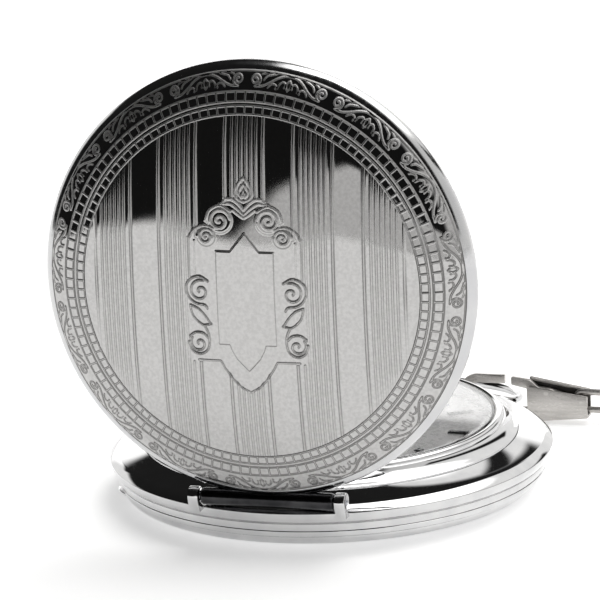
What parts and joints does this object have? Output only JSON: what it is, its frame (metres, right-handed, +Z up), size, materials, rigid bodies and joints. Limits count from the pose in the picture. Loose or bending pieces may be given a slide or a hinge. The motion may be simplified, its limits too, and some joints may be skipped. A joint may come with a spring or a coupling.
{
  "type": "hunter pocket watch",
  "caption": "Hand wound hunter pocket watch with a domed sprung front cover, pressed-on back, crown, bow and a sheet metal trouser clip.",
  "frame": {"origin": "on the case axis, at the flat the back cover rests on", "axes": "+Z up through the dial, +Y towards the crown at 12 o'clock, +X towards 3 o'clock"},
  "size_m": [0.0511, 0.0649, 0.0517],
  "materials": {
    "polished_case": "mirror polished plated case metal",
    "satin_clip": "brushed, warm grey",
    "crystal_glass": "clear mineral crystal",
    "nylon_gasket": "translucent white nylon",
    "spacer_plastic": "moulded black plastic",
    "dial_enamel": "ivory white lacquer",
    "black_lacquer": "gloss black",
    "movement_nickel": "rhodium grey, striped",
    "train_brass": "gilt brass",
    "blued_steel": "heat blued, polished",
    "spring_steel": "polished spring steel",
    "ruby_jewel": "synthetic ruby"
  },
  "bodies": {
    "case": {"mid_case": "polished_case", "back_cover": "polished_case", "bezel": "polished_case", "crystal": "crystal_glass", "crystal_gasket": "nylon_gasket", "movement_ring": "spacer_plastic", "lift_spring": "spring_steel", "case_clamps": "spring_steel", "case_screws": "blued_steel", "pendant": "polished_case", "hinge_pin": "polished_case", "main_plate": "movement_nickel", "barrel_bridge": "movement_nickel", "train_bridge": "movement_nickel", "balance_cock": "movement_nickel", "pallet_bridge": "movement_nickel", "bridge_screws": "blued_steel", "jewels": "ruby_jewel", "crown_wheel_screw": "blued_steel", "click_screw": "blued_steel", "dial": "dial_enamel", "hour_markers": "black_lacquer"},
    "cover": {"lid": "polished_case"},
    "cover_catch": {"lid_catch": "spring_steel"},
    "setting": {"setting_lever": "spring_steel"},
    "winding": {"crown": "polished_case", "winding_stem": "spring_steel", "clutch_wheel": "spring_steel", "winding_pinion": "spring_steel"},
    "bow_ring": {"bow": "polished_case"},
    "clip": {"clip_housing": "satin_clip", "clip_hook": "satin_clip", "gate_spring": "spring_steel", "clip_rivets": "satin_clip"},
    "gate": {"clip_gate": "satin_clip"},
    "clip_loop": {"end_loop": "satin_clip"},
    "minute_work": {"centre_wheel": "train_brass", "cannon_pinion": "spring_steel", "minute_hand": "blued_steel"},
    "barrel_drum": {"barrel": "train_brass", "barrel_cover": "train_brass", "mainspring": "spring_steel"},
    "third": {"third_wheel": "train_brass"},
    "seconds_work": {"fourth_wheel": "train_brass", "second_hand": "blued_steel"},
    "escape": {"escape_wheel": "spring_steel"},
    "hour_work": {"hour_wheel": "train_brass", "hour_hand": "blued_steel"},
    "motion_wheel": {"minute_wheel": "train_brass"},
    "balance": {"balance_wheel": "train_brass", "hairspring": "blued_steel"},
    "pallets": {"pallet_fork": "spring_steel"},
    "ratchet": {"ratchet_wheel": "spring_steel", "barrel_arbor": "spring_steel", "ratchet_screw": "blued_steel"},
    "crown_gear": {"crown_wheel": "spring_steel"},
    "click_pawl": {"click": "spring_steel"}
  },
  "joints": [
    {"name": "lid_hinge", "type": "hinge", "parent": "case", "child": "cover", "pos_m": [0, -0.023, 0.00605], "axis": [1, 0, 0], "range_deg": [-88.2, 8]},
    {"name": "catch_release", "type": "slide", "parent": "case", "child": "cover_catch", "axis": [0, -1, 0], "range_m": [0, 0.00035], "stiffness_N_per_m": 1500},
    {"name": "crown_slide", "type": "slide", "parent": "case", "child": "setting", "axis": [0, 1, 0], "range_m": [-0.0008, 0.001]},
    {"name": "crown_turn", "type": "hinge", "parent": "setting", "child": "winding", "pos_m": [0, 0.0284, 0.004], "axis": [0, 1, 0], "continuous": true},
    {"name": "bow_swing", "type": "hinge", "parent": "case", "child": "bow_ring", "pos_m": [0, 0.0252, 0.004], "axis": [1, 0, 0], "range_deg": [-45, 100]},
    {"name": "clip_swing", "type": "hinge", "parent": "bow_ring", "child": "clip", "pos_m": [0.0129, 0.0263, 0.0021], "axis": [0, -1, 0], "range_deg": [-30, 12]},
    {"name": "gate_open", "type": "hinge", "parent": "clip", "child": "gate", "pos_m": [0.0171, 0.0263, 0.00345], "axis": [0, -1, 0], "range_deg": [0, 16], "stiffness_Nm_per_rad": 0.002},
    {"name": "loop_swing", "type": "hinge", "parent": "clip", "child": "clip_loop", "pos_m": [0.0211, 0.0263, 0.0025], "axis": [0, -1, 0], "range_deg": [-5, 12]},
    {"name": "minute_turn", "type": "hinge", "parent": "case", "child": "minute_work", "pos_m": [0, 0, 0.006], "axis": [0, 0, 1], "continuous": true},
    {"name": "barrel_turn", "type": "hinge", "parent": "case", "child": "barrel_drum", "pos_m": [0.00757, 0.0053, 0.003], "axis": [0, 0, 1], "continuous": true},
    {"name": "third_turn", "type": "hinge", "parent": "case", "child": "third", "pos_m": [-0.00468, -0.00486, 0.003], "axis": [0, 0, 1], "continuous": true},
    {"name": "seconds_turn", "type": "hinge", "parent": "case", "child": "seconds_work", "pos_m": [0, -0.0078, 0.003], "axis": [0, 0, 1], "continuous": true},
    {"name": "escape_turn", "type": "hinge", "parent": "case", "child": "escape", "pos_m": [0.00419, -0.00975, 0.003], "axis": [0, 0, 1], "continuous": true},
    {"name": "hour_turn", "type": "hinge", "parent": "case", "child": "hour_work", "pos_m": [0, 0, 0.006], "axis": [0, 0, 1], "continuous": true},
    {"name": "motion_wheel_turn", "type": "hinge", "parent": "case", "child": "motion_wheel", "pos_m": [-0.00338, -0.00123, 0.005], "axis": [0, 0, 1], "continuous": true},
    {"name": "balance_swing", "type": "hinge", "parent": "case", "child": "balance", "pos_m": [0.00998, -0.0082, 0.003], "axis": [0, 0, 1], "range_deg": [-150, 150]},
    {"name": "pallet_swing", "type": "hinge", "parent": "case", "child": "pallets", "pos_m": [0.00699, -0.009, 0.0036], "axis": [0, 0, 1], "range_deg": [-5, 5]},
    {"name": "ratchet_turn", "type": "hinge", "parent": "case", "child": "ratchet", "pos_m": [0.00757, 0.0053, 0.001], "axis": [0, 0, 1], "continuous": true},
    {"name": "crown_wheel_turn", "type": "hinge", "parent": "case", "child": "crown_gear", "pos_m": [0.00224, 0.01072, 0.001], "axis": [0, 0, 1], "continuous": true},
    {"name": "click_lift", "type": "hinge", "parent": "case", "child": "click_pawl", "pos_m": [0.01072, 0.01076, 0.001], "axis": [0, 0, 1], "range_deg": [0, 14], "stiffness_Nm_per_rad": 0.0005}
  ],
  "couplings": [
    {"joint": "barrel_turn", "follows": "minute_turn", "ratio": -0.16667},
    {"joint": "third_turn", "follows": "minute_turn", "ratio": -8},
    {"joint": "seconds_turn", "follows": "minute_turn", "ratio": 60},
    {"joint": "escape_turn", "follows": "minute_turn", "ratio": -600},
    {"joint": "motion_wheel_turn", "follows": "minute_turn", "ratio": -0.33333},
    {"joint": "hour_turn", "follows": "minute_turn", "ratio": 0.083333},
    {"joint": "crown_wheel_turn", "follows": "ratchet_turn", "ratio": -1.7143}
  ]
}
